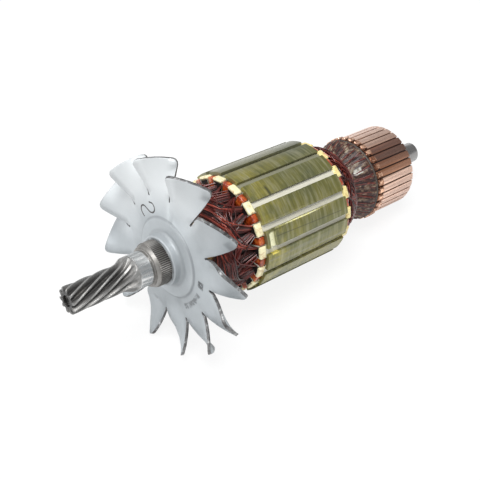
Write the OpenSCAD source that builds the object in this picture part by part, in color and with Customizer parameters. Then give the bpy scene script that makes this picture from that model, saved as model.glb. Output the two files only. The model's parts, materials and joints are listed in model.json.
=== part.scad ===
// Motor armature of a large corded power tool: pinion shaft, cooling fan,
// wound lamination stack and commutator, lying as it comes to rest.
// Every piece is drawn along +Z with the pinion at the low end and the middle
// of the lamination stack at z = 0; lying() then lays the whole thing down.

/* [Lamination stack] */
// Outside diameter of the stack
core_d = 55; // [53:0.5:57]
// Length of the stack
core_l = 47.5; // [40:0.5:55]
// Number of slots, and so of teeth
slots = 16; // [14:2:18]
// Width of each slot's mouth
mouth_w = 2.8; // [2:0.1:3.4]
// Width of each tooth's body
tooth_w = 3.8; // [3.2:0.1:4.4]
// Height of the tooth tip that overhangs the slot
lip_h = 1.5; // [1.2:0.1:1.8]
// How far the end insulators and liners stand proud of the stack
proud = 3; // [2:0.5:4]

/* [Cooling fan] */
// Diameter across the blade tips
fan_d = 88; // [80:1:94]
// Number of blades
blades = 12; // [10:1:14]
// Diameter at which the blades leave the disc
fan_root_d = 54.6; // [50:0.2:58]
// Thickness of the disc and blades
fan_t = 1.4; // [1:0.1:2]
// Twist of the blade tip out of the disc
blade_twist = 38; // [25:1:45]
// Diameter of the boss
boss_d = 22.4; // [21.8:0.2:25]

/* [Shaft] */
// Outside diameter of the pinion
pinion_d = 11.8; // [11.2:0.1:12.4]
// Number of pinion teeth
teeth = 10; // [8:1:12]
// Helix angle of the pinion, left hand
helix = 24; // [10:1:30]
// Diameter of the drive-end journal
journal_d = 15; // [14.5:0.1:15.6]
// Diameter of the knurled fan seat
knurl_d = 19.4; // [18.8:0.1:19.8]
// Diameter of the shaft under the stack
seat_d = 16.4; // [15.6:0.1:17]
// Diameter of the rear journal
rear_d = 10; // [8:0.5:12]

/* [Commutator] */
// Diameter of the brush track
com_d = 39.5; // [37:0.5:41]
// Length of the bars
com_l = 24.4; // [20:0.2:28]
// Number of bars
bars = 32; // [28:2:36]
// Width of the slot between bars
slit_w = 0.7; // [0.5:0.1:0.9]

/* [Hidden] */
$fn = 64;

// Lengths along the shaft, from the stack outwards
fan_gap = 31.25;
boss_l = 5.5;
bare_knurl_l = 5.2;
collar_l = 7.3;
journal_l = 6.7;
runout_l = 5.4;
pinion_l = 36.7;
com_gap = 29.25;
stub_l = 22.6;

// Places along the axis
stack_z = core_l / 2;
end_z = stack_z + proud;
fan_z = -(stack_z + fan_gap);
boss_z = fan_z - boss_l;
knurl_z = boss_z - bare_knurl_l;
collar_z = boss_z - collar_l;
runout_z = collar_z - journal_l;
tooth_z = runout_z - runout_l;
tip_z = collar_z - pinion_l;
com_z = stack_z + com_gap;
com_end = com_z + com_l;
shaft_end = com_end + stub_l;
sleeve_z0 = fan_z + 9;
sleeve_z1 = com_z - 1.8;

// Turned positions of the pieces on the shaft, from the side that lies lowest
fan_turn = 10;
stack_turn = 18;
com_turn = 7.9;
pinion_turn = 12.6;

// Radii
core_r = core_d / 2;
slot_top = core_r - lip_h;
slot_pitch = 360 / slots;
sleeve_r = 9.8;
liner_t = 0.4;
wedge_t = 1.1;
com_r = com_d / 2;
bar_in = 14.6;
bush_r = 8.4;
com_seat_r = 7;

// ---------------------------------------------------------------- helpers

module turned(d, z0, z1, d2 = undef)
    translate([0, 0, z0])
        cylinder(d1 = d, d2 = is_undef(d2) ? d : d2, h = z1 - z0);

module around(n, turn = 0)
    for (i = [0 : n - 1])
        rotate([0, 0, turn + i * 360 / n])
            children();

// Triangles that join rings of n points each, closed by a flat face at both ends.
// With a centre, the last point is the middle of the first end.
function skin_faces(n, rings, centre = false) = concat(
    [for (k = [0 : rings - 2], i = [0 : n - 1])
        [k * n + i, (k + 1) * n + i, k * n + (i + 1) % n]],
    [for (k = [0 : rings - 2], i = [0 : n - 1])
        [(k + 1) * n + i, (k + 1) * n + (i + 1) % n, k * n + (i + 1) % n]],
    centre ? [for (i = [0 : n - 1]) [rings * n, i, (i + 1) % n]] : [[for (i = [0 : n - 1]) i]],
    [[for (i = [n - 1 : -1 : 0]) (rings - 1) * n + i]]
);

// ------------------------------------------------------------------ shaft

// The teeth are left-hand helical. Each space keeps its depth up to tooth_z
// and then climbs out of the shoulder along the round cutter's arc.
pinion_r = pinion_d / 2;
tooth_h = 1.95;
root_r = pinion_r - tooth_h;
journal_r = journal_d / 2;
cutter_r = 11;
shoulder_step = 0.1;
climb_z = runout_z - sqrt(pow(cutter_r, 2) - pow(cutter_r - journal_r + root_r, 2));
helix_rate = tan(helix) / pinion_r * 180 / PI;
flank = [-0.5, -0.41, -0.34, -0.25, -0.12, 0.12, 0.25, 0.34, 0.41];
flank_edge = 0.38;
crest_share = 0.07;

function space_floor(z) = z < climb_z ? root_r
    : root_r + cutter_r - sqrt(pow(cutter_r, 2) - pow(z - climb_z, 2));
function blank_r(z) = z < tip_z + 0.3 ? pinion_r - 0.5
    : z < tooth_z ? pinion_r
    : min(journal_r - shoulder_step, pinion_r + (z - tooth_z) * (journal_r - pinion_r) / 3.6);
// The space is U-shaped, and the crest between two spaces is slightly rounded
function flank_rise(q) = q < flank_edge ? (1 - crest_share) * pow(q / flank_edge, 3)
    : 1 - crest_share * (0.5 - q) / (0.5 - flank_edge);
function flank_r(q, z) = min(blank_r(z), space_floor(z) + tooth_h * flank_rise(abs(q)));
pinion_z = concat(
    [tip_z],
    [for (k = [0 : 9]) tip_z + 0.5 + k * (climb_z - tip_z - 0.5) / 9],
    [for (k = [1 : 7]) climb_z + sin(90 * k / 7) * (runout_z - climb_z)],
    [runout_z + 0.5]
);

module pinion_blank()
    polyhedron(
        points = concat(
            [for (z = pinion_z, i = [0 : teeth - 1], q = flank)
                let (a = pinion_turn + (i + 0.5 + q) * 360 / teeth - (z - tip_z - 12.8) * helix_rate)
                [flank_r(q, z) * cos(a), flank_r(q, z) * sin(a), z]],
            [[0, 0, tip_z]]),
        faces = skin_faces(teeth * len(flank), len(pinion_z), true));

// Straight knurl, cut only where the fan leaves it bare
knurl_n = 68;
knurl_h = 0.45;
module knurl()
    translate([0, 0, knurl_z])
        linear_extrude(boss_z - knurl_z)
            polygon([for (i = [0 : knurl_n - 1], s = [0, 1])
                let (a = (i + s / 2) * 360 / knurl_n, r = knurl_d / 2 - s * knurl_h)
                [r * cos(a), r * sin(a)]]);

fan_seat_r = knurl_d / 2 - 0.1;
module shaft()
    color("dimgray") difference() {
        union() {
            pinion_blank();
            turned(journal_d, runout_z + 0.3, collar_z - 0.6);
            turned(journal_d - 0.6, collar_z - 0.6, collar_z);
            turned(knurl_d - 3, collar_z, collar_z + 0.5);
            turned(knurl_d - 1.9, collar_z + 0.5, knurl_z, knurl_d - 2 * knurl_h - 0.3);
            knurl();
            turned(2 * fan_seat_r, boss_z - 0.2, fan_z + 6.4);
            turned(seat_d + 0.8, fan_z + 6.4, sleeve_z0);
            turned(seat_d, sleeve_z0, sleeve_z1);
            turned(2 * com_seat_r, sleeve_z1, com_end + 2);
            turned(rear_d, com_end + 2, shaft_end - 0.8);
            turned(rear_d, shaft_end - 0.8, shaft_end, rear_d - 1.6);
        }
        // Turning centres in both ends
        turned(5, tip_z - 1, tip_z + 1.2);
        turned(5, tip_z + 1.2, tip_z + 3.4, 0.6);
        turned(3.2, shaft_end - 1.6, shaft_end + 1);
    }

// -------------------------------------------------------------------- fan

fan_r = fan_d / 2;
fan_root_r = fan_root_d / 2;
slit_half = 0.45;
corner_r = 2.4;
corner_u = corner_r / (fan_r - fan_root_r);
blade_steps = concat(
    [0, 0.14, 0.32, 0.52, 0.7],
    [for (q = [0 : 3]) 1 - corner_u * (1 - sin(30 * q))]
);
blade_across = [-1, -0.5, 0, 0.5, 1];

// Half width of a blade at distance u along it, with its tip corner rounded
function blade_half(u) =
    let (x = u * (fan_r - fan_root_r),
         root = fan_root_r * sin(180 / blades) - slit_half,
         straight = root + x * 0.2,
         c = x - (fan_r - fan_root_r - corner_r))
    c < 0 ? straight : straight - corner_r + sqrt(max(0, pow(corner_r, 2) - pow(c, 2)));
function blade_angle(u) = blade_twist * (u < 0.2 ? u * u / 0.36 : (u - 0.1) / 0.9);
function blade_point(i, u, v, side) =
    let (y = v * blade_half(u),
         x = fan_root_r * cos(180 / blades)
             + u * (sqrt(pow(fan_r, 2) - pow(y, 2)) - fan_root_r * cos(180 / blades)),
         t = blade_angle(u),
         yy = y * cos(t) - side * fan_t / 2 * sin(t),
         zz = y * sin(t) + side * fan_t / 2 * cos(t),
         a = fan_turn + i * 360 / blades)
    [x * cos(a) - yy * sin(a), x * sin(a) + yy * cos(a), fan_z + zz];

rows = len(blade_steps);
cols = len(blade_across);
per_blade = rows * cols * 2;
function fan_index(i, side, row, col) =
    (i % blades) * per_blade + (side > 0 ? rows * cols : 0) + row * cols + col;
fan_points = [for (i = [0 : blades - 1], side = [-1, 1], u = blade_steps, v = blade_across)
    blade_point(i, u, v, side)];

// The blank is one sheet: a disc face above and below, whose edge runs along
// every blade's root and across the foot of every slit
fan_faces = concat(
    [[for (i = [0 : blades - 1], c = [0 : cols - 1]) fan_index(i, -1, 0, c)]],
    [[for (i = [blades - 1 : -1 : 0], c = [cols - 1 : -1 : 0]) fan_index(i, 1, 0, c)]],
    [for (i = [0 : blades - 1])
        [fan_index(i, -1, 0, cols - 1), fan_index(i, 1, 0, cols - 1), fan_index(i + 1, -1, 0, 0)]],
    [for (i = [0 : blades - 1])
        [fan_index(i, 1, 0, cols - 1), fan_index(i + 1, 1, 0, 0), fan_index(i + 1, -1, 0, 0)]],
    [for (i = [0 : blades - 1], r = [0 : rows - 2], c = [0 : cols - 2])
        [fan_index(i, -1, r, c), fan_index(i, -1, r + 1, c), fan_index(i, -1, r + 1, c + 1)]],
    [for (i = [0 : blades - 1], r = [0 : rows - 2], c = [0 : cols - 2])
        [fan_index(i, -1, r, c), fan_index(i, -1, r + 1, c + 1), fan_index(i, -1, r, c + 1)]],
    [for (i = [0 : blades - 1], r = [0 : rows - 2], c = [0 : cols - 2])
        [fan_index(i, 1, r, c), fan_index(i, 1, r + 1, c + 1), fan_index(i, 1, r + 1, c)]],
    [for (i = [0 : blades - 1], r = [0 : rows - 2], c = [0 : cols - 2])
        [fan_index(i, 1, r, c), fan_index(i, 1, r, c + 1), fan_index(i, 1, r + 1, c + 1)]],
    [for (i = [0 : blades - 1], r = [0 : rows - 2])
        [fan_index(i, -1, r, 0), fan_index(i, 1, r, 0), fan_index(i, 1, r + 1, 0)]],
    [for (i = [0 : blades - 1], r = [0 : rows - 2])
        [fan_index(i, -1, r, 0), fan_index(i, 1, r + 1, 0), fan_index(i, -1, r + 1, 0)]],
    [for (i = [0 : blades - 1], r = [0 : rows - 2])
        [fan_index(i, -1, r, cols - 1), fan_index(i, 1, r + 1, cols - 1), fan_index(i, 1, r, cols - 1)]],
    [for (i = [0 : blades - 1], r = [0 : rows - 2])
        [fan_index(i, -1, r, cols - 1), fan_index(i, -1, r + 1, cols - 1), fan_index(i, 1, r + 1, cols - 1)]],
    [for (i = [0 : blades - 1], c = [0 : cols - 2])
        [fan_index(i, -1, rows - 1, c), fan_index(i, 1, rows - 1, c), fan_index(i, 1, rows - 1, c + 1)]],
    [for (i = [0 : blades - 1], c = [0 : cols - 2])
        [fan_index(i, -1, rows - 1, c), fan_index(i, 1, rows - 1, c + 1), fan_index(i, -1, rows - 1, c + 1)]]
);

pad_r = 18;
pad_h = 0.8;
pad_edge = 1.1;
boss_back = 5.6;
module fan_hub_section() {
    boss_r = boss_d / 2;
    fillet = 1.6;
    face = fan_z - fan_t / 2 - pad_h;
    difference() {
        union() {
            // Front boss with a rounded rim
            translate([fan_seat_r - 1, boss_z])
                square([boss_r - fan_seat_r + 0.4, 1]);
            translate([boss_r - 0.6, boss_z + 0.6])
                circle(0.6);
            translate([fan_seat_r - 1, boss_z + 0.6])
                square([boss_r - fan_seat_r + 1, fan_z - boss_z]);
            // Fillet between the boss and the pad
            translate([boss_r - 0.5, face - fillet])
                square([fillet + 0.5, fillet + 0.5]);
            // Raised pad round the boss, with a rounded edge
            translate([fan_seat_r - 1, face])
                square([pad_r - fan_seat_r + 1 - pad_edge, pad_h + 0.4]);
            translate([pad_r - pad_edge, face + pad_edge])
                circle(pad_edge);
            // Back boss that the sleeve end faces
            translate([fan_seat_r - 1, fan_z])
                square([boss_r + 1 - fan_seat_r, boss_back]);
        }
        translate([boss_r + fillet, face - fillet])
            circle(fillet);
    }
}
module cooling_fan()
    color("lightsteelblue") difference() {
        union() {
            polyhedron(points = fan_points, faces = fan_faces);
            rotate_extrude()
                fan_hub_section();
        }
        turned(2 * fan_seat_r, boss_z - 1, fan_z + 9);
    }

// ------------------------------------------------------------------ stack

// One slot below the tooth tips, lying along +X and drawn in by inset
slot_foot = 17;
function slot_half(x, inset) = x * tan(slot_pitch / 2) - (tooth_w / 2 + inset) / cos(slot_pitch / 2);
module slot_shape(inset = 0, top = slot_top) {
    foot_r = slot_half(slot_foot, inset);
    polygon([
        [slot_foot, -foot_r],
        [top, -slot_half(top, inset)],
        [top, slot_half(top, inset)],
        [slot_foot, foot_r]
    ]);
    translate([slot_foot, 0])
        circle(foot_r);
}

// A milled balancing cut in one tooth
cut_tooth = -6;
cut_z = -stack_z + 2.2;
cut_l = 2.8;
cut_depth = 1.1;
module lamination_stack()
    color("olivedrab") difference() {
        turned(core_d, -stack_z, stack_z);
        turned(2 * sleeve_r, -stack_z - 1, stack_z + 1);
        around(slots, stack_turn + slot_pitch / 2)
            translate([0, 0, -stack_z - 1])
                linear_extrude(core_l + 2) {
                    slot_shape();
                    translate([slot_top - 0.5, -mouth_w / 2])
                        square([lip_h + 1, mouth_w]);
                }
        rotate([0, 0, stack_turn + cut_tooth * slot_pitch])
            translate([core_r - cut_depth, -6, cut_z])
                cube([3, 12, cut_l]);
    }

module end_insulator(z0)
    color("saddlebrown") translate([0, 0, z0])
        linear_extrude(proud)
            difference() {
                circle(slot_top - 0.1);
                circle(sleeve_r);
                around(slots, stack_turn + slot_pitch / 2)
                    slot_shape();
            }
module front_end_insulator() end_insulator(-end_z);
module rear_end_insulator() end_insulator(stack_z);

wedge_in = slot_top - wedge_t;
module along_slots(half_l = end_z)
    around(slots, stack_turn + slot_pitch / 2)
        translate([0, 0, -half_l])
            linear_extrude(2 * half_l)
                children();

module slot_liners()
    color("khaki") along_slots()
        difference() {
            slot_shape(0, wedge_in);
            slot_shape(liner_t, wedge_in + 1);
        }

module slot_wedges()
    color("ivory") along_slots(stack_z)
        intersection() {
            slot_shape();
            translate([wedge_in, -10])
                square([wedge_t, 20]);
        }

// Beyond the stack each slot is closed by a padded cuff with a rounded end,
// which clears the slot's walls by cuff_gap at the wedge
cuff_gap = 0.115695;
cuff_w = 2 * (slot_half(wedge_in, 0) - cuff_gap);
cuff_t = 1.4;
cuff_past = 0.1;
module slot_cuffs()
    color("ivory") around(slots, stack_turn + slot_pitch / 2)
        rotate([90, 0, 0])
            translate([wedge_in, stack_z, -cuff_w / 2])
                linear_extrude(cuff_w) {
                    square([cuff_t, proud + cuff_past]);
                    translate([cuff_t / 2, proud + cuff_past])
                        circle(cuff_t / 2);
                }
module rear_slot_cuffs() slot_cuffs();
module front_slot_cuffs()
    mirror([0, 0, 1])
        slot_cuffs();

module slot_conductors()
    color("maroon") along_slots()
        slot_shape(liner_t, wedge_in);

// ---------------------------------------------------------------- winding

// A wound head is a rounded ring of coil bundles. Each bundle leaves its slot
// along a chord that passes the shaft at distance chord_r.
chord_r = 11.5;
head_r = wedge_in - 0.3;
head_h = 13.4;
neck_r = 13.6;
bundle_h = 0.7;
bundle_steps = 6;
// Outlines of the heads: radius, and height above the insulators
front_outline = [
    [head_r - 1.8, 0], [head_r - 1.1, 2.6], [head_r - 1.2, 5.4], [head_r - 2, 8.2],
    [head_r - 3.6, 10.4], [head_r - 6.2, 12], [head_r - 8.4, 13], [neck_r, head_h]
];
rear_outline = [
    [head_r - 2.8, 0], [head_r - 2.6, 2.6], [head_r - 2.7, 5.4], [head_r - 3.2, 8.2],
    [head_r - 4.2, 10.2], [head_r - 6.2, 12], [head_r - 8.4, 13], [neck_r, head_h]
];
// Height of a bundle's crown, which fades out at the foot and at the neck
function crown(a, p) = bundle_h * cos(slots * a) * min(1, p[1] / 2, head_h - p[1]);

module wound_head(outline, hand)
    difference() {
        polyhedron(
            points = [for (p = outline, i = [0 : slots * bundle_steps - 1])
                let (a = i * 360 / (slots * bundle_steps),
                     lead = hand * acos(min(1, chord_r / p[0])),
                     b = crown(a, p),
                     r = p[0] + b * (p[0] - neck_r) / (head_r - neck_r),
                     t = a + lead + stack_turn + slot_pitch / 2)
                [r * cos(t), r * sin(t), p[1] * (1 + b / head_h)]],
            faces = skin_faces(slots * bundle_steps, len(outline)));
        turned(2 * sleeve_r, -1, 20);
    }

module front_end_winding()
    color("brown") translate([0, 0, -end_z])
        mirror([0, 0, 1])
            wound_head(front_outline, 1);
module rear_end_winding()
    color("brown") translate([0, 0, end_z])
        wound_head(rear_outline, -1);

// The leads climb in a cup from the rear head to the hooks
lead_steps = 4;
neck_z = end_z + head_h;
cup_outline = [
    [neck_r, neck_z], [neck_r + 0.4, neck_z + 1.6], [neck_r + 1.8, neck_z + 4.2],
    [neck_r + 3.8, neck_z + 7.2], [com_r - 0.9, neck_z + 9.6],
    [com_r - 0.2, com_z - 1.6], [com_r - 0.4, com_z]
];
cord_w = 1.2;
cord_bed = com_r - 1.1;
module cord_section()
    translate([0, com_z - cord_w - 0.2]) {
        translate([cord_bed, 0])
            square([0.6, cord_w]);
        translate([cord_bed + 0.6, cord_w / 2])
            circle(cord_w / 2);
    }
module commutator_leads()
    color("rosybrown") difference() {
        polyhedron(
            points = [for (p = cup_outline, i = [0 : bars * lead_steps - 1])
                let (a = i * 360 / (bars * lead_steps),
                     r = p[0] + 0.35 * cos(bars * a),
                     t = a + com_turn)
                [r * cos(t), r * sin(t), p[1]]],
            faces = skin_faces(bars * lead_steps, len(cup_outline)));
        turned(2 * sleeve_r, end_z, com_z + 1);
        rotate_extrude()
            translate([0, com_z - cord_w - 0.2])
                translate([cord_bed, 0])
                    square([4, cord_w]);
    }

module lead_binding_cord()
    color("black") rotate_extrude()
        cord_section();

// ------------------------------------------------------------- commutator

band_in = 15;
band_out = 16.4;
band_z = 0.6;
band_l = 1.6;
// A bar's section in the plane through the axis, notched for both bands
module bar_section(r_in, r_out)
    difference() {
        translate([r_in, com_z])
            square([r_out - r_in, com_l]);
        translate([bar_in - 1, com_z - 1])
            square([band_out - bar_in + 1, band_z + band_l + 1]);
        translate([bar_in - 1, com_end - band_z - band_l])
            square([band_out - bar_in + 1, band_z + band_l + 1]);
    }

hook_w = 1.9;
hook_h = 0.75;
module hook()
    rotate([90, 0, 0])
        translate([0, 0, -hook_w / 2])
            linear_extrude(hook_w) {
                translate([com_r - 0.6, com_z + 0.5])
                    square([0.6 + hook_h, 2.2]);
                translate([com_r, com_z + 2.7])
                    circle(hook_h);
            }

module commutator_bars()
    color("peru") {
        difference() {
            rotate_extrude()
                bar_section(bar_in, com_r);
            around(bars, com_turn + 180 / bars)
                translate([bar_in - 1, -slit_w / 2, com_z - 1])
                    cube([com_r, slit_w, com_l + 2]);
        }
        around(bars, com_turn)
            hook();
    }

undercut = 0.9;
module commutator_body()
    color("saddlebrown") {
        rotate_extrude() {
            translate([bush_r, com_z])
                square([bar_in - bush_r, com_l + 0.8]);
            for (z = [com_z, com_end - band_z - band_l])
                translate([bush_r, z])
                    square([band_in - bush_r, band_z + band_l]);
            translate([bush_r, com_z])
                square([band_out - bush_r, band_z]);
            translate([bush_r, com_end - band_z])
                square([band_out - bush_r, band_z + 0.8]);
        }
        around(bars, com_turn + 180 / bars)
            rotate([90, 0, 0])
                translate([0, 0, -slit_w / 2])
                    linear_extrude(slit_w)
                        bar_section(bar_in - 0.1, com_r - undercut);
    }

module commutator_bush()
    color("silver") difference() {
        turned(2 * bush_r, com_z - 1.2, com_end + 1.4);
        turned(2 * com_seat_r, com_z - 2, com_end + 3);
    }

module band(z0)
    color("goldenrod") difference() {
        turned(2 * band_out, z0, z0 + band_l);
        turned(2 * band_in, z0 - 1, z0 + band_l + 1);
    }
module front_band() band(com_z + band_z);
module rear_band() band(com_end - band_z - band_l);

module shaft_sleeve()
    color("tan") difference() {
        turned(2 * sleeve_r, sleeve_z0, sleeve_z1);
        turned(seat_d, sleeve_z0 - 1, sleeve_z1 + 1);
    }

// ------------------------------------------------------------------ lying

// The armature rests on two neighbouring blades and on the commutator's far
// edge, so the axis tilts and the pinion end stands up.
function reach(p, t) = p[0] * cos(t) + p[2] * sin(t);
function lowest(t, k = 0, best = [0, 0, 0]) = k >= len(fan_points) ? best
    : lowest(t, k + 1, reach(fan_points[k], t) > reach(best, t) ? fan_points[k] : best);
function rest_tilt(t, n) = n == 0 ? t
    : let (p = lowest(t)) rest_tilt(atan2(p[0] - com_r, com_end - p[2]), n - 1);
tilt = rest_tilt(10, 4);
lift = reach([com_r, 0, com_end], tilt);
centre_x = ((tip_z - shaft_end) / 2 + shaft_end) * cos(tilt);

module lying()
    translate([-centre_x, 0, lift])
        rotate([0, 90 + tilt, 0])
            children();

lying() shaft();
lying() cooling_fan();
lying() shaft_sleeve();
lying() lamination_stack();
lying() front_end_insulator();
lying() rear_end_insulator();
lying() slot_liners();
lying() slot_wedges();
lying() front_slot_cuffs();
lying() rear_slot_cuffs();
lying() slot_conductors();
lying() front_end_winding();
lying() rear_end_winding();
lying() commutator_leads();
lying() lead_binding_cord();
lying() commutator_bars();
lying() commutator_body();
lying() commutator_bush();
lying() front_band();
lying() rear_band();
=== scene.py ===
import json
import math
import random
import bpy
from mathutils import Matrix, Vector


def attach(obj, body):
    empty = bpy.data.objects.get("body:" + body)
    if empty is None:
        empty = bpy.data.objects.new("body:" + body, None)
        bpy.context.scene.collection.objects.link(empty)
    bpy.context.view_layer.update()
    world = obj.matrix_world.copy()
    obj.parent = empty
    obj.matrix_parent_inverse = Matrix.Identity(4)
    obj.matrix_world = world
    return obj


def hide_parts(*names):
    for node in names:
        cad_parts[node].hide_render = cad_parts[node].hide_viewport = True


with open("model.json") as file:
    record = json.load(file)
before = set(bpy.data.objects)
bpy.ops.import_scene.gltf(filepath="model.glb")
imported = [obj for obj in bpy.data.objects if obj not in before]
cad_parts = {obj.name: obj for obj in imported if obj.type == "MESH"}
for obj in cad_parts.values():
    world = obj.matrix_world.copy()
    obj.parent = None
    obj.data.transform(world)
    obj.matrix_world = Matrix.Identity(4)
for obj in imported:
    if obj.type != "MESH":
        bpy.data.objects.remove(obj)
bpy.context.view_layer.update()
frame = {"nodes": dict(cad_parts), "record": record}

# Shaft: one steel bar, ground bright on both bearing journals, hobbed with a left-hand
# helical pinion at the drive end and rolled with a straight knurl that grips the fan.
# It is drawn upright, the stack's middle at the origin, and laid down on its own axis.
MM = 0.001
REAR_BEARING_Z = 89.3
mounts = {m["name"]: m for m in frame["record"]["mounts"]}
rear_bearing = Vector(mounts["rear_journal"]["pos_m"])
shaft_axis = Vector(mounts["rear_journal"]["axis"]).normalized()
stack_middle = rear_bearing - shaft_axis * REAR_BEARING_Z * MM
sideways = Vector((0, 1, 0))
lowest_side = sideways.cross(shaft_axis)
laid = Matrix((
    (lowest_side.x, sideways.x, shaft_axis.x, stack_middle.x),
    (lowest_side.y, sideways.y, shaft_axis.y, stack_middle.y),
    (lowest_side.z, sideways.z, shaft_axis.z, stack_middle.z),
    (0, 0, 0, 1),
))
unlaid = laid.inverted()


def only(*pieces):
    """Leaves just these pieces selected, the first one active."""
    bpy.ops.object.select_all(action="DESELECT")
    for piece in pieces:
        piece.select_set(True)
    bpy.context.view_layer.objects.active = pieces[0]


def turn_up(profile, segments, material):
    """Turns a closed piece from radius and height pairs in mm, as on a lathe."""
    bpy.ops.object.select_all(action="DESELECT")
    (last_r, last_z), *rest = profile
    bpy.ops.mesh.primitive_circle_add(vertices=segments, radius=last_r * MM,
                                      fill_type="NGON", location=(0, 0, last_z * MM))
    piece = bpy.context.object
    bpy.ops.object.transform_apply(location=True, rotation=True, scale=True)
    bpy.ops.object.mode_set(mode="EDIT")
    bpy.ops.mesh.select_all(action="SELECT")
    for r, z in rest:
        bpy.ops.mesh.extrude_region_move(TRANSFORM_OT_translate={"value": (0, 0, (z - last_z) * MM)})
        bpy.ops.transform.resize(value=(r / last_r, r / last_r, 1), center_override=(0, 0, 0))
        last_r, last_z = r, z
    bpy.ops.mesh.select_all(action="SELECT")
    bpy.ops.mesh.normals_make_consistent(inside=False)
    bpy.ops.object.mode_set(mode="OBJECT")
    piece.data.materials.append(material)
    return piece


def finish_piece(piece, name, materials, replaced=(), angle=35):
    """Lays an upright piece on the shaft, smooths it, gives it its finish and body."""
    only(piece)
    bpy.ops.object.transform_apply(location=True, rotation=True, scale=True)
    piece.data.transform(laid)
    piece.name = name
    piece.data.name = name
    if materials:
        piece.data.materials.clear()
        for material in materials:
            piece.data.materials.append(material)
    bpy.ops.object.shade_smooth_by_angle(angle=math.radians(angle))
    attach(piece, "root")
    if replaced:
        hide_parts(*replaced)


def srgb(r, g, b):
    """Linear colour from eight-bit screen values."""
    return tuple(((v / 255 + 0.055) / 1.055) ** 2.4 if v > 10 else v / 3294 for v in (r, g, b))


class Nodes:
    """Short calls that add nodes to a tree and join them."""

    def __init__(self, tree):
        self.tree = tree

    def add(self, kind, inputs=None, **settings):
        node = self.tree.nodes.new(kind)
        for key, value in settings.items():
            setattr(node, key, value)
        for key, value in (inputs or {}).items():
            self.put(node, key, value)
        return node

    def put(self, node, key, value):
        if hasattr(value, "is_output"):
            self.tree.links.new(value, node.inputs[key])
        else:
            node.inputs[key].default_value = value

    def math(self, operation, first, second=0.0):
        return self.add("ShaderNodeMath", {0: first, 1: second}, operation=operation).outputs[0]

    def level(self, value, low, high, out_low=0.0, out_high=1.0):
        return self.add("ShaderNodeMapRange", {
            "Value": value, "From Min": low, "From Max": high,
            "To Min": out_low, "To Max": out_high,
        }).outputs["Result"]


class Effect(Nodes):
    """A shader node group with named sockets, filled by the calls of Nodes."""

    def __init__(self, name, inputs, outputs):
        super().__init__(bpy.data.node_groups.new(name, "ShaderNodeTree"))
        for keys, side in ((inputs, "INPUT"), (outputs, "OUTPUT")):
            for key in keys:
                kind = "NodeSocketVector" if key in ("Vector", "Normal") else "NodeSocketFloat"
                self.tree.interface.new_socket(key, in_out=side, socket_type=kind)
        self.given = self.add("NodeGroupInput").outputs
        self.result = self.add("NodeGroupOutput")

    def give(self, **outputs):
        for key, value in outputs.items():
            self.put(self.result, key, value)


# Places on the upright shaft: height and distance from its axis in mm, and the angle
# round it in degrees from the side that lies lowest
places = Effect("shaft_places", ("Vector",), ("Along", "Around", "Out"))
parts = places.add("ShaderNodeSeparateXYZ", {"Vector": places.given["Vector"]}).outputs
swing = places.math("ARCTAN2", parts["Y"], parts["X"])
square = places.math("ADD", *(places.math("MULTIPLY", parts[key], parts[key]) for key in ("X", "Y")))
places.give(Along=places.math("MULTIPLY", parts["Z"], 1 / MM),
            Around=places.math("MULTIPLY", swing, math.degrees(1)),
            Out=places.math("MULTIPLY", places.math("SQRT", square), 1 / MM))

# Fine grain, stretched across and along the shaft: tool marks, sheet edges and fibres
fine_grain = Effect("fine_grain", ("Vector", "Across", "Along", "Depth"), ("Value", "Normal"))
given = fine_grain.given
spread = fine_grain.add("ShaderNodeCombineXYZ", {
    "X": given["Across"], "Y": given["Across"], "Z": given["Along"]})
scaled = fine_grain.add("ShaderNodeVectorMath", {
    0: given["Vector"], 1: spread.outputs[0]}, operation="MULTIPLY")
speckle = fine_grain.add("ShaderNodeTexNoise", {
    "Vector": scaled.outputs[0], "Scale": 1, "Detail": 3, "Roughness": 0.6}).outputs["Fac"]
relief = fine_grain.add("ShaderNodeBump", {"Strength": 0.5, "Height": speckle, "Distance": given["Depth"]})
fine_grain.give(Value=speckle, Normal=relief.outputs["Normal"])

# Stains: soft-edged patches of dirt, varnish or heat, as a mask from 0 to 1
stains = Effect("stains", ("Vector", "Scale", "From", "To"), ("Mask",))
given = stains.given
cloud = stains.add("ShaderNodeTexNoise", {
    "Vector": given["Vector"], "Scale": given["Scale"], "Detail": 5, "Roughness": 0.6})
stains.give(Mask=stains.level(cloud.outputs["Fac"], given["From"], given["To"]))


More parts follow.
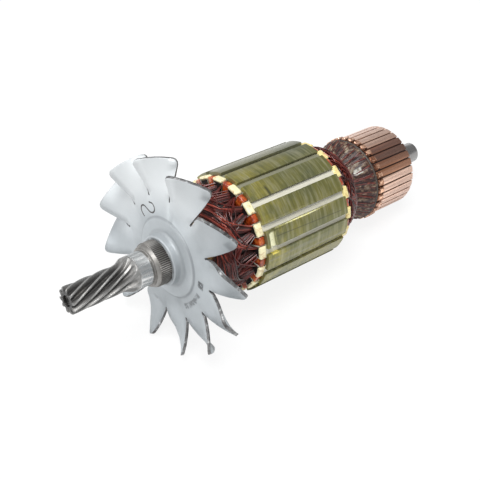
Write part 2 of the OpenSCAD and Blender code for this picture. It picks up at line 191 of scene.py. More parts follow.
class Finish(Nodes):
    """A Principled material that knows its places on the upright shaft."""

    def __init__(self, name, color, roughness=0.5, metallic=0.0, coat=0.0):
        self.material = bpy.data.materials.new(name)
        self.material.use_nodes = True
        super().__init__(self.material.node_tree)
        self.shader = self.tree.nodes["Principled BSDF"]
        for key, value in (("Base Color", (*color, 1)), ("Roughness", roughness),
                           ("Metallic", metallic), ("Coat Weight", coat)):
            self.shader.inputs[key].default_value = value
        turned = self.add("ShaderNodeMapping", {
            "Vector": self.add("ShaderNodeTexCoord").outputs["Object"],
            "Location": unlaid.to_translation(), "Rotation": unlaid.to_euler(),
        }, vector_type="POINT")
        self.upright = turned.outputs["Vector"]
        found = self.use(places, Vector=self.upright)
        self.along, self.around, self.out = (found[key] for key in ("Along", "Around", "Out"))

    def use(self, effect, **inputs):
        return self.add("ShaderNodeGroup", inputs, node_tree=effect.tree).outputs

    def grain(self, across, along, depth):
        return self.use(fine_grain, Vector=self.upright, Across=across, Along=along, Depth=depth)

    def stain(self, scale, low, high):
        return self.use(stains, Vector=self.upright, Scale=scale, From=low, To=high)["Mask"]

    def window(self, value, low, high, soft):
        return self.use(window, Value=value, Low=low, High=high, Soft=soft)["Mask"]

    def both(self, first, second):
        return self.math("MULTIPLY", first, second)

    def ramp(self, value, *stops):
        node = self.add("ShaderNodeValToRGB", {"Fac": value})
        band = node.color_ramp
        while len(band.elements) < len(stops):
            band.elements.new(0.5)
        for element, (place, color) in zip(band.elements, stops):
            element.position = place
            element.color = (*color, 1)
        return node.outputs["Color"]

    def mix(self, factor, first, second):
        first, second = ((*c, 1) if isinstance(c, tuple) else c for c in (first, second))
        return self.add("ShaderNodeMix", {0: factor, 6: first, 7: second}, data_type="RGBA").outputs[2]

    def bump(self, height, distance):
        return self.add("ShaderNodeBump", {
            "Height": height, "Distance": distance, "Strength": 0.8}).outputs["Normal"]

    def feed(self, color=None, roughness=None, normal=None):
        for key, value in (("Base Color", color), ("Roughness", roughness), ("Normal", normal)):
            if value is not None:
                self.put(self.shader, key, value)
        return self.material


steel = Finish("hobbed_steel", srgb(128, 126, 122), 0.45, 0.75)
# The pinion darkens from crest to root: oil and painted shade in the tooth spaces.
depth = steel.level(steel.out, 4.1, 5.9)
grain = steel.grain(1400, 1400, 0.00003)
root_oil_and_shade = steel.mix(depth, srgb(62, 61, 60), srgb(152, 151, 149))
hobbed_steel = steel.feed(
    color=steel.mix(steel.stain(420, 0.5, 0.8), root_oil_and_shade, srgb(112, 109, 105)),
    roughness=steel.level(grain["Value"], 0.3, 0.7, 0.38, 0.55), normal=grain["Normal"])

steel = Finish("ground_steel", srgb(204, 204, 202), 0.2, 1.0)
rings = steel.grain(60, 3000, 0.000002)
bright = steel.mix(rings["Value"], srgb(186, 186, 185), srgb(222, 222, 221))
dim_reflection = steel.mix(rings["Value"], srgb(112, 110, 109), srgb(156, 154, 152))
# The rear stub's darker tone stands in for what a real floor and room would reflect
ground_steel = steel.feed(
    color=steel.mix(steel.level(steel.along, 70, 76), bright, dim_reflection),
    roughness=steel.level(rings["Value"], 0.3, 0.7, 0.17, 0.26), normal=rings["Normal"])

steel = Finish("knurled_steel", srgb(118, 114, 108), 0.5, 0.75)
grain = steel.grain(1100, 1100, 0.00003)
# The knurl's floors are dark, its crests and the collar lighter: dirt and painted shade in the floors.
root = steel.math("MAXIMUM", steel.level(steel.out, 9.25, 9.7), steel.level(steel.along, -65.4, -65.6))
crest = steel.mix(steel.stain(300, 0.35, 0.7), srgb(150, 148, 145), srgb(116, 113, 109))
knurled_steel = steel.feed(
    color=steel.mix(root, srgb(54, 52, 50), crest),
    roughness=steel.level(grain["Value"], 0.3, 0.7, 0.4, 0.58), normal=grain["Normal"])

TIP_Z = -104.5
RUNOUT_Z = -74.5
TEETH = 10
PINION_R = 5.9
TOOTH_H = 1.95
JOURNAL_R = 7.5
CUTTER_R = 11
HELIX = 24
FIRST_TOOTH = 12.6
KNURL_TEETH = 68
KNURL_FLOOR_R = 9.25
helix_rate = math.degrees(math.tan(math.radians(HELIX)) / PINION_R)
climb_z = RUNOUT_Z - math.sqrt(CUTTER_R ** 2 - (CUTTER_R - JOURNAL_R + PINION_R - TOOTH_H) ** 2)


def tooth_radius(q, z):
    """Radius of the pinion's flank at q of a tooth pitch from the space's middle."""
    floor = PINION_R - TOOTH_H
    if z > climb_z:
        floor += CUTTER_R - math.sqrt(max(0, CUTTER_R ** 2 - (z - climb_z) ** 2))
    blank = min(JOURNAL_R - 0.1, PINION_R + max(0, z - RUNOUT_Z + 5.4) * 1.6 / 3.6)
    if z < TIP_Z + 0.5:
        blank = PINION_R - 0.5 + (z - TIP_Z)
    rise = 0.93 * (abs(q) / 0.38) ** 3 if abs(q) < 0.38 else 1 - 0.07 * (0.5 - abs(q)) / 0.12
    return min(blank, floor + TOOTH_H * rise)


heights = [TIP_Z, TIP_Z + 0.25, TIP_Z + 0.5]
heights += [TIP_Z + 0.5 + k * (climb_z - TIP_Z - 0.5) / 34 for k in range(1, 35)]
heights += [climb_z + math.sin(math.pi / 2 * k / 16) * (RUNOUT_Z - climb_z) for k in range(1, 17)]
bore = [(0.3, TIP_Z + 3.4), (2.5, TIP_Z + 1.2), (2.5, TIP_Z)]
pinion = turn_up(bore + [(6, z) for z in heights] + [(6, RUNOUT_Z + 0.5)], 180, hobbed_steel)
for v in pinion.data.vertices:
    if math.hypot(v.co.x, v.co.y) > 3 * MM:
        sample = round(math.degrees(math.atan2(v.co.y, v.co.x)) / 2) % 180
        tooth, q = sample // 18, (sample % 18) / 18 - 0.5
        z = v.co.z / MM
        twist = (z - TIP_Z - 12.8) * helix_rate
        turn = math.radians(FIRST_TOOTH + (tooth + 0.5 + q) * 360 / TEETH - twist)
        r = tooth_radius(q, z) * MM
        v.co.x, v.co.y = r * math.cos(turn), r * math.sin(turn)

journal = turn_up([(3, -74.2), (7.42, -74.2), (7.5, -74.1), (7.5, -68.45), (7.45, -68.4), (7.2, -68.4),
                   (7.2, -67.7), (3, -67.7)], 128, ground_steel)
collar = turn_up([(3, -67.8), (8.1, -67.8), (8.2, -67.7), (8.2, -67.3), (8.65, -67.3), (8.75, -67.2),
                  (9.1, -65.7), (9.15, -65.6), (3, -65.5)], 128, knurled_steel)
knurl = turn_up([(3, -65.7), (9.3, -65.7), (9.7, -65.3), (9.7, -60.3), (3, -60.3)],
                2 * KNURL_TEETH, knurled_steel)
for v in knurl.data.vertices:
    r = math.hypot(v.co.x, v.co.y) / MM
    if r > 9 and round(math.degrees(math.atan2(v.co.y, v.co.x)) * 2 * KNURL_TEETH / 360) % 2:
        v.co.x *= KNURL_FLOOR_R / r
        v.co.y *= KNURL_FLOOR_R / r
rear_bar = turn_up([(3, -60.6), (9.6, -60.6), (9.6, -48.6), (8.6, -48.6), (8.6, -46), (8.2, -46),
                    (8.2, 51.2), (7, 51.2), (7, 79.4), (5, 79.4), (5, 99.15), (4.95, 99.25), (4.2, 100),
                    (1.6, 100), (1.6, 98.4), (0.1, 98.3)], 96, ground_steel)
only(pinion, journal, collar, knurl, rear_bar)
bpy.ops.object.join()
finish_piece(pinion, "shaft_dressed", [], ["shaft"], 32)

# Cooling fan: pressed from one aluminium sheet on a turned boss, its blades slit and
# twisted. The faces are dull and blasted, the sheared edges are bare and smudged.
# Window: 1 where a value lies between Low and High, fading to 0 outside over Soft
window = Effect("window", ("Value", "Low", "High", "Soft"), ("Mask",))
value, low, high, soft = (window.given[key] for key in ("Value", "Low", "High", "Soft"))
rise = window.level(value, window.math("SUBTRACT", low, soft), window.math("ADD", low, soft))
fall = window.level(value, window.math("ADD", high, soft), window.math("SUBTRACT", high, soft))
window.give(Mask=window.math("MULTIPLY", rise, fall))

aluminium = Finish("blasted_aluminium", srgb(176, 184, 187), 0.5, 0.3)
grain = aluminium.grain(2400, 2400, 0.00003)
around, ring = aluminium.around, aluminium.out
face_tone = aluminium.mix(aluminium.stain(55, 0.3, 0.75), srgb(153, 158, 161), srgb(170, 175, 178))
# A painted tone that stands in for light from one side: the blades pale towards it
LIGHTEST_SIDE = 150
swept = aluminium.both(aluminium.math("SUBTRACT", around, LIGHTEST_SIDE), math.radians(1))
raised = aluminium.level(aluminium.math("COSINE", swept), 0.2, 1.0)
blades = aluminium.both(aluminium.level(ring, 19, 32), raised)
face_tone = aluminium.mix(blades, face_tone, srgb(198, 201, 202))
# Smudges in place of the small marks on the disc; nothing in them can be read
scuffs = aluminium.both(aluminium.window(ring, 20.6, 23.2, 0.3), aluminium.window(around, -78, -40, 1))
scuffs = aluminium.both(scuffs, aluminium.stain(230, 0.48, 0.56))
scuffs = aluminium.both(scuffs, 0.7)
block = aluminium.both(aluminium.window(ring, 20.3, 23.6, 0.3), aluminium.window(around, -97, -88, 0.8))
scuffs = aluminium.math("MAXIMUM", scuffs, block)
scuffs = aluminium.both(scuffs, aluminium.stain(1100, 0.32, 0.46))
# Darker rings at the pad's edge and round the boss's foot: dirt and painted shade in the creases. They
# darken the faces together with the smudges.
pad_edge_dirt_and_shade = aluminium.both(aluminium.window(ring, 17.4, 18.4, 0.3), 0.35)
boss_foot_dirt_and_shade = aluminium.both(aluminium.window(ring, 11.3, 12.9, 0.5), 0.3)
shade = aluminium.math("MAXIMUM", scuffs, aluminium.math("MAXIMUM", pad_edge_dirt_and_shade, boss_foot_dirt_and_shade))
blasted_aluminium = aluminium.feed(
    color=aluminium.mix(shade, face_tone, srgb(84, 86, 88)),
    roughness=aluminium.level(grain["Value"], 0.3, 0.7, 0.44, 0.58), normal=grain["Normal"])

edge = Finish("sheared_edge", srgb(150, 150, 150), 0.45, 0.4)
tears = edge.grain(420, 420, 0.00002)
sheared_edge = edge.feed(
    color=edge.ramp(
        tears["Value"], (0.3, srgb(62, 60, 60)), (0.55, srgb(116, 116, 116)), (0.8, srgb(226, 228, 230))),
    normal=tears["Normal"])


def dressed_copy(node):
    """A welded copy of a CAD node, upright, to be given finer edges."""
    source = frame["nodes"][node]
    only(source)
    piece = source.copy()
    piece.data = source.data.copy()
    bpy.context.collection.objects.link(piece)
    piece.parent = None
    piece.matrix_world = Matrix()
    only(piece)
    bpy.ops.object.mode_set(mode="EDIT")
    bpy.ops.mesh.select_all(action="SELECT")
    bpy.ops.mesh.remove_doubles(threshold=0.000004)
    bpy.ops.object.mode_set(mode="OBJECT")
    piece.data.transform(unlaid)
    return piece


SHEET_T = 1.4
BLADE_FOOT_R = 25
fan = dressed_copy("cooling_fan")
fan.data.materials.clear()
fan.data.materials.append(blasted_aluminium)
fan.data.materials.append(sheared_edge)
for face in fan.data.polygons:
    corners = [fan.data.vertices[i].co for i in face.vertices]
    spans = [(corners[k] - corners[k - 1]).length / MM for k in range(len(corners))]
    on_blade = math.hypot(face.center.x, face.center.y) > BLADE_FOOT_R * MM
    if on_blade and any(abs(span - SHEET_T) < 0.02 for span in spans):
        face.material_index = 1
finish_piece(fan, "cooling_fan_dressed", [], ["cooling_fan"], 42)

# Inspector's figure: a hand-drawn 2 in felt pen on the fan's disc, by the raised pad.
# It is one stroke of ink, modelled as a nearly flat wire just proud of the sheet.
ink = Finish("felt_pen", srgb(70, 66, 64), 0.6)
felt_pen = ink.feed(color=ink.mix(ink.stain(900, 0.4, 0.7), srgb(48, 45, 44), srgb(92, 90, 90)))
FIGURE = ((-18.8, 15.5), (-19.7, 13.8), (-19.3, 12.2), (-18.0, 11.3), (-16.3, 11.5),
          (-14.9, 12.8), (-14.5, 14.5), (-15.0, 16.6), (-15.3, 18.5), (-14.2, 20.1),
          (-12.3, 20.4), (-10.6, 19.1), (-10.0, 17.5))
DISC_Z = -55.7


def start_wire(name, radius):
    """A round wire of a radius in mm, still without its path."""
    wire = bpy.data.curves.new(name, "CURVE")
    wire.dimensions = "3D"
    wire.bevel_depth = radius * MM
    wire.bevel_resolution = 1
    wire.use_fill_caps = True
    return wire


def wire_mesh(wire):
    """The wire as a mesh piece."""
    piece = bpy.data.objects.new(wire.name, wire)
    bpy.context.collection.objects.link(piece)
    only(piece)
    bpy.ops.object.convert(target="MESH")
    return bpy.context.object


stroke = start_wire("figure", 0.36)
spline = stroke.splines.new("NURBS")
spline.points.add(len(FIGURE) - 1)
for point, (x, y) in zip(spline.points, FIGURE):
    point.co = (x * MM, y * MM, 0, 1)
spline.use_endpoint_u = True
spline.order_u = 3
figure = wire_mesh(stroke)
figure.scale = (1, 1, 0.12)
figure.location = (0, 0, DISC_Z * MM)
finish_piece(figure, "felt_pen_figure", [felt_pen], (), 60)

# Shaft sleeve: a moulded resin tube that insulates the shaft from the stack and coils.
# It is pushed on the bare bar before the stack, and stays almost hidden.
resin = Finish("sleeve_resin", srgb(150, 120, 80), 0.5)
grain = resin.grain(600, 200, 0.00003)
sleeve_resin = resin.feed(
    color=resin.mix(grain["Value"], srgb(120, 92, 58), srgb(176, 146, 98)), normal=grain["Normal"])


def dress(node, material):
    """Gives a CAD node that has its right shape already the real material."""
    frame["nodes"][node].data.materials.clear()
    frame["nodes"][node].data.materials.append(material)


dress("shaft_sleeve", sleeve_resin)

# Lamination stack: about ninety stamped steel sheets, pressed together, turned true
# outside and dipped in a thin olive varnish that pools and streaks round the teeth.
sheet = Finish("varnished_laminations", srgb(130, 128, 92), 0.33, 0.5, coat=0.25)
sheets = sheet.grain(60, 4200, 0.00006)
around, height = sheet.around, sheet.along
tone = sheet.ramp(
    sheet.stain(36, 0.3, 0.72),
    (0.0, srgb(84, 90, 64)), (0.45, srgb(114, 112, 56)), (1.0, srgb(152, 142, 68)))
gold = sheet.both(sheet.level(height, -2, -18), sheet.stain(110, 0.45, 0.62))
tone = sheet.mix(sheet.both(gold, 0.6), tone, srgb(172, 160, 62))
rub = sheet.grain(90, 700, 0.00001)
tone = sheet.mix(sheet.level(rub["Value"], 0.45, 0.72, 0, 0.55), tone, srgb(176, 172, 142))
tone = sheet.mix(sheet.level(rub["Value"], 0.42, 0.26, 0, 0.5), tone, srgb(70, 74, 56))
tone = sheet.mix(sheet.level(sheets["Value"], 0.35, 0.75, 0, 0.5), tone, srgb(76, 78, 52))
# A painted tone that stands in for the dimmer light on the teeth beside the top
crown = sheet.both(sheet.window(around, 128, 168, 8), 0.6)
tone = sheet.mix(crown, tone, srgb(112, 114, 104))
scratch = sheet.both(sheet.window(height, -14.3, -13.1, 0.5), sheet.window(around, -163, -152, 2))
slanted = sheet.math("ADD", around, sheet.both(height, -0.08))
score = sheet.both(sheet.window(slanted, -116.2, -115.4, 0.25), sheet.window(height, -19, 20, 1))
dark = sheet.math("MAXIMUM", sheet.both(scratch, 0.75), sheet.both(score, 0.55))
tone = sheet.mix(dark, tone, srgb(52, 54, 44))
dab = sheet.both(sheet.window(height, -22.3, -18.9, 0.25), sheet.window(around, -122, -107.5, 0.8))
dab = sheet.both(dab, sheet.stain(500, 0.25, 0.4))
tone = sheet.mix(dab, tone, srgb(240, 238, 198))
drip = sheet.both(sheet.window(height, -21.6, -18, 0.3), sheet.window(around, -104.6, -101.4, 0.6))
tone = sheet.mix(sheet.both(drip, sheet.stain(520, 0.35, 0.5)), tone, srgb(222, 206, 96))
varnished_laminations = sheet.feed(
    color=tone, roughness=sheet.level(rub["Value"], 0.3, 0.7, 0.3, 0.46), normal=sheets["Normal"])
stack = dressed_copy("lamination_stack")
finish_piece(stack, "lamination_stack_dressed", [varnished_laminations], ["lamination_stack"],
             30)

# End insulators: fibre stars that keep the coils off the stack's end faces, soaked in
# glossy red-brown varnish that gathers round every arm.
amber = Finish("red_brown_varnish", srgb(150, 66, 30), 0.15, coat=0.5)
pool = amber.stain(400, 0.3, 0.7)
red_brown_varnish = amber.feed(
    color=amber.ramp(pool, (0.0, srgb(92, 24, 10)), (0.5, srgb(160, 60, 20)), (1.0, srgb(210, 118, 54))),
    normal=amber.bump(pool, 0.0003))


def bevel_edges(piece, width, segments):
    """Breaks a piece's sharp edges by a width in mm."""
    edge = piece.modifiers.new("edge", "BEVEL")
    edge.width = width * MM
    edge.segments = segments
    edge.limit_method = "ANGLE"
    edge.angle_limit = math.radians(40)
    only(piece)
    bpy.ops.object.modifier_apply(modifier="edge")


for node in ("front_end_insulator", "rear_end_insulator"):
    star = dressed_copy(node)
    bevel_edges(star, 0.6, 2)
    finish_piece(star, node + "_dressed", [red_brown_varnish], [node], 40)

# Slot liners and wedges: insulating strip that lines each slot and closes its mouth.
# They slide in from one end. The darker tone of those near the top stands in for the
# shade of the slot's lip, and isn't a colour of the strip.
strip = Finish("slot_strip", srgb(206, 204, 190), 0.55)
fibre = strip.grain(1500, 90, 0.00006)
unshaded = strip.both(strip.level(strip.around, -170, -164), strip.level(strip.around, 150, 140))
unshaded = strip.level(unshaded, 0, 1, 0.2, 1)
clean = strip.mix(fibre["Value"], srgb(178, 174, 156), srgb(232, 230, 216))
slot_strip = strip.feed(
    color=strip.mix(unshaded, srgb(92, 92, 62), clean),
    normal=fibre["Normal"])
for node in ("slot_liners", "slot_wedges"):
    dress(node, slot_strip)

# Slot cuffs: the padded, folded ends of the liners, which stand out of every slot at
# both ends and are swollen and stained by varnish.
paper = Finish("cuff_paper", srgb(226, 216, 168), 0.42, coat=0.3)
pale = paper.mix(paper.level(paper.along, -10, 20), srgb(234, 226, 184), srgb(232, 216, 148))
soak = paper.both(paper.stain(520, 0.52, 0.72), 0.8)
cuff_paper = paper.feed(
    color=paper.mix(soak, pale, srgb(170, 112, 46)), normal=paper.bump(paper.stain(700, 0.2, 0.8), 0.0002))
SLOTS = 16
SLOT_PITCH = 360 / SLOTS
FIRST_SLOT = 29.25
CUFF_SIZE = (1.65, 5.7, 3.6)
CUFF_R = 25.5
CUFF_Z = 25.55
for end, name in ((-1, "front_slot_cuffs"), (1, "rear_slot_cuffs")):
    bpy.ops.object.select_all(action="DESELECT")
    bpy.ops.mesh.primitive_cube_add(size=1, location=(CUFF_R * MM, 0, end * CUFF_Z * MM))
    cuff = bpy.context.object
    cuff.scale = [side * MM for side in CUFF_SIZE]
    bpy.ops.object.transform_apply(location=True, rotation=True, scale=True)
    bpy.ops.object.mode_set(mode="EDIT")
    bpy.ops.mesh.bevel(offset=0.78 * MM, segments=4, affect="EDGES")
    bpy.ops.object.mode_set(mode="OBJECT")
    cuffs = [cuff]
    rng = random.Random(5 + end)
    for i in range(SLOTS):
        turn = FIRST_SLOT + SLOT_PITCH * i
        copy = cuff.copy()
        copy.data = cuff.data.copy()
        bpy.context.collection.objects.link(copy)
        for v in copy.data.vertices:
            v.co.x += rng.uniform(-0.09, 0.09) * MM
            v.co.z += rng.uniform(-0.1, 0.1) * MM
        copy.data.transform(Matrix.Rotation(math.radians(turn + rng.uniform(-0.5, 0.5)), 4, "Z"))
        cuffs.append(copy)
    bpy.data.objects.remove(cuffs.pop(0))
    only(*cuffs)
    bpy.ops.object.join()
    finish_piece(bpy.context.object, name + "_dressed", [cuff_paper], [name], 60)

# Wound heads: enamelled wire laid in bundles from slot to slot, each bundle crossing
# the ones before it and passing close round the shaft.
enamels = []
for tint, shade in (("dark", (40, 8, 5)), ("red", (82, 22, 15)), ("bright", (142, 62, 48))):
    wire = Finish(tint + "_wire", srgb(*shade), 0.3, 0.15, coat=0.3)
    dark, light = (srgb(*(share * part for part in shade)) for share in (0.75, 1.2))
    enamels.append(wire.feed(color=wire.mix(wire.stain(240, 0.3, 0.7), dark, light)))
gap = Finish("wire_shadow", srgb(30, 9, 7), 0.75)
wire_shadow = gap.feed(color=gap.mix(gap.stain(900, 0.3, 0.7), srgb(8, 2, 1), srgb(22, 7, 4)))

HEAD_END = 26.75
HEAD_CROWN = ((18.4, 12), (16.2, 13), (13.6, 13.4))
HEAD_OUTLINE = {
    "front": ((22.8, 0), (23.5, 2.6), (23.4, 5.4), (22.6, 8.2), (21.0, 10.4), *HEAD_CROWN),
    "rear": ((21.8, 0), (22.0, 2.6), (21.9, 5.4), (21.4, 8.2), (20.4, 10.2), *HEAD_CROWN),
}
COIL_SPAN = 7 * SLOT_PITCH
WAISTS = (13.2, 16.4, 14.6, 17.6)


def head_height(outline, radius):
    """Height of the head's outer surface above the insulator at a radius."""
    top = outline[2:]
    if radius >= top[0][0]:
        return top[0][1]
    for (r0, h0), (r1, h1) in zip(top, top[1:]):
        if r1 <= radius <= r0:
            return h0 + (h1 - h0) * (r0 - radius) / (r0 - r1)
    return top[-1][1]


def coil_path(end, first, waist, rim, t):
    """A point of a coil's middle line, seen along the shaft, for t from 0 to 1."""
    u = 2 * t - 1
    radius = waist + (rim - waist) * abs(u) ** 1.6
    angle = math.radians(first - end * COIL_SPAN * t)
    return Vector((radius * math.cos(angle), radius * math.sin(angle)))


def wind_head(end, rows, columns, seed):
    """One wound head as strands of wire over a dark core. end is -1 at the fan."""
    outline = HEAD_OUTLINE["front" if end < 0 else "rear"]
    rng = random.Random(seed)
    strands = start_wire("strands", 0.29)
    for enamel in enamels:
        strands.materials.append(enamel)
    tints = random.Random(seed + 1)
    points = 26
    for coil in range(SLOTS):
        first = FIRST_SLOT + SLOT_PITCH * coil
        lift = rng.uniform(-0.25, 0.25)
        waist = WAISTS[coil % len(WAISTS)] + rng.uniform(-0.4, 0.4)
        for row in range(rows):
            for column in range(columns):
                across = (column + 0.5 + row * 0.4) / columns - 0.5
                sway = [rng.uniform(-1, 1) for _ in range(5)]
                rim = 22.6 - row * 1.2 + sway[0] * 0.3
                spline = strands.splines.new("POLY")
                spline.points.add(points - 1)
                spline.material_index = tints.choice((0, 1, 1, 1, 2))
                for i in range(points):
                    t = i / (points - 1)
                    u = abs(2 * t - 1)
                    place = coil_path(end, first, waist, rim, t)
                    after = coil_path(end, first, waist, rim, min(1, t + 0.02))
                    step = after - coil_path(end, first, waist, rim, max(0, t - 0.02))
                    normal = Vector((-step.y, step.x)).normalized()
                    width = columns * (0.84 - 0.34 * u ** 3)
                    place += normal * (across * width + 0.32 * sway[1] * math.sin(6 * t + 3 * sway[2]))
                    radius = max(10.4, place.length)
                    place *= radius / place.length
                    ripple = 0.22 * sway[3] * math.sin(7 * t + 3 * sway[4])
                    layer = -1.4 + 1.9 * t + lift - row * 0.62 + ripple
                    height = head_height(outline, radius) + layer
                    foot = max(0, (u - 0.8) / 0.2)
                    height = height * (1 - foot ** 2) - 3 * foot ** 2
                    spline.points[i].co = (place.x * MM, place.y * MM, end * (HEAD_END + height) * MM, 1)
    wound = wire_mesh(strands)
    inner = [(r - 4 * (r - 9) / 14, z - 2.2) for r, z in outline[1:]]
    hollow = [(outline[0][0] - 4, -3.5)] + inner + [(9.9, 10.6)]
    core = turn_up([(r, end * (HEAD_END + z)) for r, z in hollow], 64, wire_shadow)
    only(wound, core)
    bpy.ops.object.join()
    return bpy.context.object


front_head = wind_head(end=-1, rows=3, columns=8, seed=11)
finish_piece(front_head, "front_end_strands", [], ["front_end_winding"], 60)
rear_head = wind_head(end=1, rows=2, columns=8, seed=23)
finish_piece(rear_head, "rear_end_strands", [], ["rear_end_winding"], 60)
dress("slot_conductors", wire_shadow)

# Commutator leads: coil ends that climb from the rear head to the hooks, bedded in
# grey-brown resin whose pale ridges stand between the dark wires.
resin = Finish("lead_resin", srgb(110, 84, 70), 0.5, coat=0.1)
height, around = resin.along, resin.around
streaks = resin.grain(900, 160, 0.0002)
blotch = resin.stain(260, 0.3, 0.7)
mottle = resin.math("ADD", resin.both(streaks["Value"], 0.7), resin.both(blotch, 0.3))
tone = resin.ramp(mottle, (0.36, srgb(18, 5, 3)), (0.48, srgb(50, 18, 10)),
                  (0.56, srgb(92, 68, 50)), (0.68, srgb(146, 136, 116)))
patch = resin.both(resin.window(around, -148, -139, 1), resin.window(height, 44.3, 47.6, 0.3))
tone = resin.mix(resin.both(patch, resin.stain(420, 0.3, 0.5)), tone, srgb(196, 196, 186))
lead_resin = resin.feed(color=tone, normal=resin.bump(blotch, 0.0005))
cup = dressed_copy("commutator_leads")
finish_piece(cup, "lead_resin_cup", [lead_resin], ["commutator_leads"], 50)

lead = Finish("lead_enamel", srgb(84, 34, 28), 0.4, 0.05, coat=0.1)
lead_enamel = lead.feed(color=lead.ramp(
    lead.stain(480, 0.2, 0.8), (0.2, srgb(44, 10, 6)), (0.5, srgb(86, 26, 18)), (0.85, srgb(120, 56, 42))))
CUP_OUTLINE = ((13.6, 40.15), (14.0, 41.75), (15.4, 44.35), (17.4, 47.35),
               (18.85, 49.75), (19.55, 51.4), (19.35, 52.6))
BARS = 32
BAR_PITCH = 360 / BARS
FIRST_BAR = 7.9
leads = start_wire("leads", 0.4)
rng = random.Random(4)
for i in range(2 * BARS):
    spline = leads.splines.new("POLY")
    spline.points.add(len(CUP_OUTLINE) - 1)
    start = FIRST_BAR + BAR_PITCH / 2 * i
    swing = rng.uniform(-11, 5)
    sink = rng.uniform(-0.42, 0.12)
    for k, (r, z) in enumerate(CUP_OUTLINE):
        t = k / (len(CUP_OUTLINE) - 1)
        a = math.radians(start + (1 - t) * swing + rng.uniform(-0.9, 0.9))
        reach = r + sink - 0.25 * t + rng.uniform(-0.12, 0.12)
        spline.points[k].co = (reach * math.cos(a) * MM, reach * math.sin(a) * MM, z * MM, 1)
finish_piece(wire_mesh(leads), "lead_wires", [lead_enamel], (), 60)

# Binding cord: a tarred cord wound once round the leads, close behind the hooks.
# It holds the leads down against the pull of the turning armature.
cord = Finish("tarred_cord", srgb(34, 28, 26), 0.5)
fibre = cord.grain(1500, 900, 0.0002)
tarred_cord = cord.feed(
    color=cord.mix(fibre["Value"], srgb(14, 10, 9), srgb(92, 80, 72)), normal=fibre["Normal"])
dress("lead_binding_cord", tarred_cord)

# Commutator: copper bars moulded on a phenolic body, turned true and undercut. The
# bars on one side are darker brown, with brush skin and a painted dark reflection. The
# gaps between the hooks are darkened with dirt and painted shade, and the hooks' tops
# carry painted glints.
copper = Finish("turned_copper", srgb(208, 160, 138), 0.3, 0.85)
lathe = copper.grain(120, 9000, 0.000008)
height, around, ring = copper.along, copper.around, copper.out
FIRST_SLIT = FIRST_BAR + BAR_PITCH / 2
bar_count = copper.math("DIVIDE", copper.math("SUBTRACT", around, FIRST_SLIT), BAR_PITCH)
bar_step = copper.math("FLOOR", bar_count)
bar_turn = copper.math("ADD", copper.both(bar_step, BAR_PITCH), FIRST_SLIT + BAR_PITCH / 2)
mixed_turn = copper.math("ADD", copper.both(bar_turn, 0.6), copper.both(around, 0.4))
skin_and_reflection_tone = copper.ramp(
    copper.level(mixed_turn, -174, -80), (0.0, srgb(196, 150, 128)), (0.1, srgb(150, 98, 78)),
    (0.16, srgb(108, 62, 46)), (0.28, srgb(92, 52, 38)), (0.4, srgb(140, 84, 48)),
    (0.53, srgb(150, 94, 56)), (0.57, srgb(218, 176, 154)), (1.0, srgb(212, 172, 154)))
bright = copper.mix(lathe["Value"], srgb(206, 164, 142), srgb(244, 212, 192))
skin_and_reflection = copper.both(copper.window(mixed_turn, -170, -122, 4), 0.85)
tone = copper.mix(skin_and_reflection, bright, skin_and_reflection_tone)
tone = copper.mix(copper.both(copper.stain(90, 0.5, 0.8), 0.3), tone, srgb(150, 100, 78))
# The gaps between the hooks are dark: dirt and painted shade.
row = copper.both(copper.window(height, 52.5, 56.3, 0.15), copper.level(ring, 20.1, 19.8))
dirt_and_shade = copper.mix(copper.stain(1100, 0.42, 0.6), srgb(58, 34, 26), srgb(186, 128, 98))
tone = copper.mix(row, tone, dirt_and_shade)
hook_glint = copper.both(copper.window(height, 52.5, 57, 0.2), copper.level(ring, 20.1, 20.4))
hooks = copper.mix(copper.stain(700, 0.4, 0.6), srgb(140, 88, 64), srgb(246, 200, 168))
tone = copper.mix(hook_glint, tone, hooks)
turned_copper = copper.feed(
    color=tone, roughness=copper.level(lathe["Value"], 0.3, 0.7, 0.26, 0.4), normal=lathe["Normal"])
bars = dressed_copy("commutator_bars")
bevel_edges(bars, 0.06, 1)
finish_piece(bars, "commutator_bars_dressed", [turned_copper], ["commutator_bars"], 30)

body = Finish("phenolic", srgb(52, 26, 18), 0.5)
fill = body.grain(900, 900, 0.00003)
phenolic = body.feed(color=body.mix(fill["Value"], srgb(26, 11, 7), srgb(70, 38, 26)), normal=fill["Normal"])
dress("commutator_body", phenolic)

# Bush and bands: a steel bush that the phenolic is moulded on, and two glass-fibre
# rings that hold the bars' dovetails.
glass = Finish("glass_band", srgb(186, 170, 116), 0.5)
weave = glass.grain(1200, 400, 0.00005)
glass_band = glass.feed(
    color=glass.mix(weave["Value"], srgb(164, 146, 92), srgb(206, 192, 142)), normal=weave["Normal"])
dress("commutator_bush", ground_steel)
dress("front_band", glass_band)
dress("rear_band", glass_band)

# Stage: a plain pale floor under soft daylight, two soft lamps and the camera. The
# floor looks almost white to the camera and still keeps the armature's shadow.
bpy.ops.mesh.primitive_plane_add(size=6, location=(0, 0, 0))
floor = bpy.context.object
floor.name = "floor"
pale_floor = bpy.data.materials.new("pale_floor")
pale_floor.use_nodes = True
tree = pale_floor.node_tree
tree.nodes.clear()
diffuse = tree.nodes.new("ShaderNodeBsdfDiffuse")
diffuse.inputs["Color"].default_value = (0.95, 0.95, 0.95, 1)
white = tree.nodes.new("ShaderNodeEmission")
white.inputs["Strength"].default_value = 1.0
ray = tree.nodes.new("ShaderNodeLightPath")
looked_at = tree.nodes.new("ShaderNodeMath")
looked_at.operation = "MULTIPLY"
looked_at.inputs[1].default_value = 0.86
tree.links.new(ray.outputs["Is Camera Ray"], looked_at.inputs[0])
blend = tree.nodes.new("ShaderNodeMixShader")
tree.links.new(looked_at.outputs[0], blend.inputs["Fac"])
tree.links.new(diffuse.outputs[0], blend.inputs[1])
tree.links.new(white.outputs[0], blend.inputs[2])
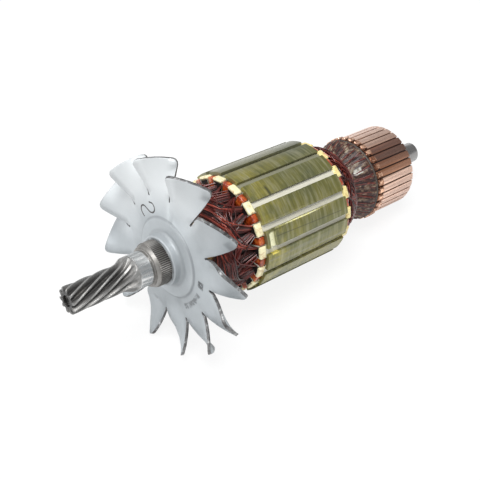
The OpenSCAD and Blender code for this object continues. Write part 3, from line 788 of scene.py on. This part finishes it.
output = tree.nodes.new("ShaderNodeOutputMaterial")
tree.links.new(blend.outputs[0], output.inputs["Surface"])
floor.data.materials.append(pale_floor)

world = bpy.data.worlds.new("studio")
bpy.context.scene.world = world
world.use_nodes = True
sky = world.node_tree
sky.nodes.clear()
seen = sky.nodes.new("ShaderNodeBackground")
seen.inputs["Color"].default_value = (1, 1, 1, 1)
seen.inputs["Strength"].default_value = 1.0
lit = sky.nodes.new("ShaderNodeBackground")
lit.inputs["Color"].default_value = (0.96, 0.98, 1, 1)
lit.inputs["Strength"].default_value = 0.52
ray = sky.nodes.new("ShaderNodeLightPath")
either = sky.nodes.new("ShaderNodeMath")
either.operation = "MAXIMUM"
sky.links.new(ray.outputs["Is Camera Ray"], either.inputs[0])
sky.links.new(ray.outputs["Is Transmission Ray"], either.inputs[1])
choose = sky.nodes.new("ShaderNodeMixShader")
sky.links.new(either.outputs[0], choose.inputs["Fac"])
sky.links.new(lit.outputs[0], choose.inputs[1])
sky.links.new(seen.outputs[0], choose.inputs[2])
out = sky.nodes.new("ShaderNodeOutputWorld")
sky.links.new(choose.outputs[0], out.inputs["Surface"])

for name, place, aim, size, power in (
    ("overhead", (-0.1, -0.1, 0.75), (0, 0, 0.03), 0.4, 5.5),
    ("side", (-0.55, 0.35, 0.4), (0, 0, 0.03), 0.3, 2.2),
):
    lamp = bpy.data.lights.new(name, "AREA")
    lamp.size = size
    lamp.energy = power
    lamp_object = bpy.data.objects.new(name, lamp)
    bpy.context.collection.objects.link(lamp_object)
    lamp_object.location = place
    lamp_object.rotation_euler = (Vector(aim) - Vector(place)).to_track_quat("-Z", "Y").to_euler()

camera_data = bpy.data.cameras.new("camera")
camera_data.lens = 67.5
camera_data.sensor_width = 36
camera = bpy.data.objects.new("camera", camera_data)
bpy.context.collection.objects.link(camera)
camera.location = (-0.190396, -0.216834, 0.317764)
camera.rotation_euler = [math.radians(v) for v in (43.9085, 0.6465, -39.853)]
bpy.context.scene.camera = camera
bpy.context.scene.view_settings.view_transform = "Standard"
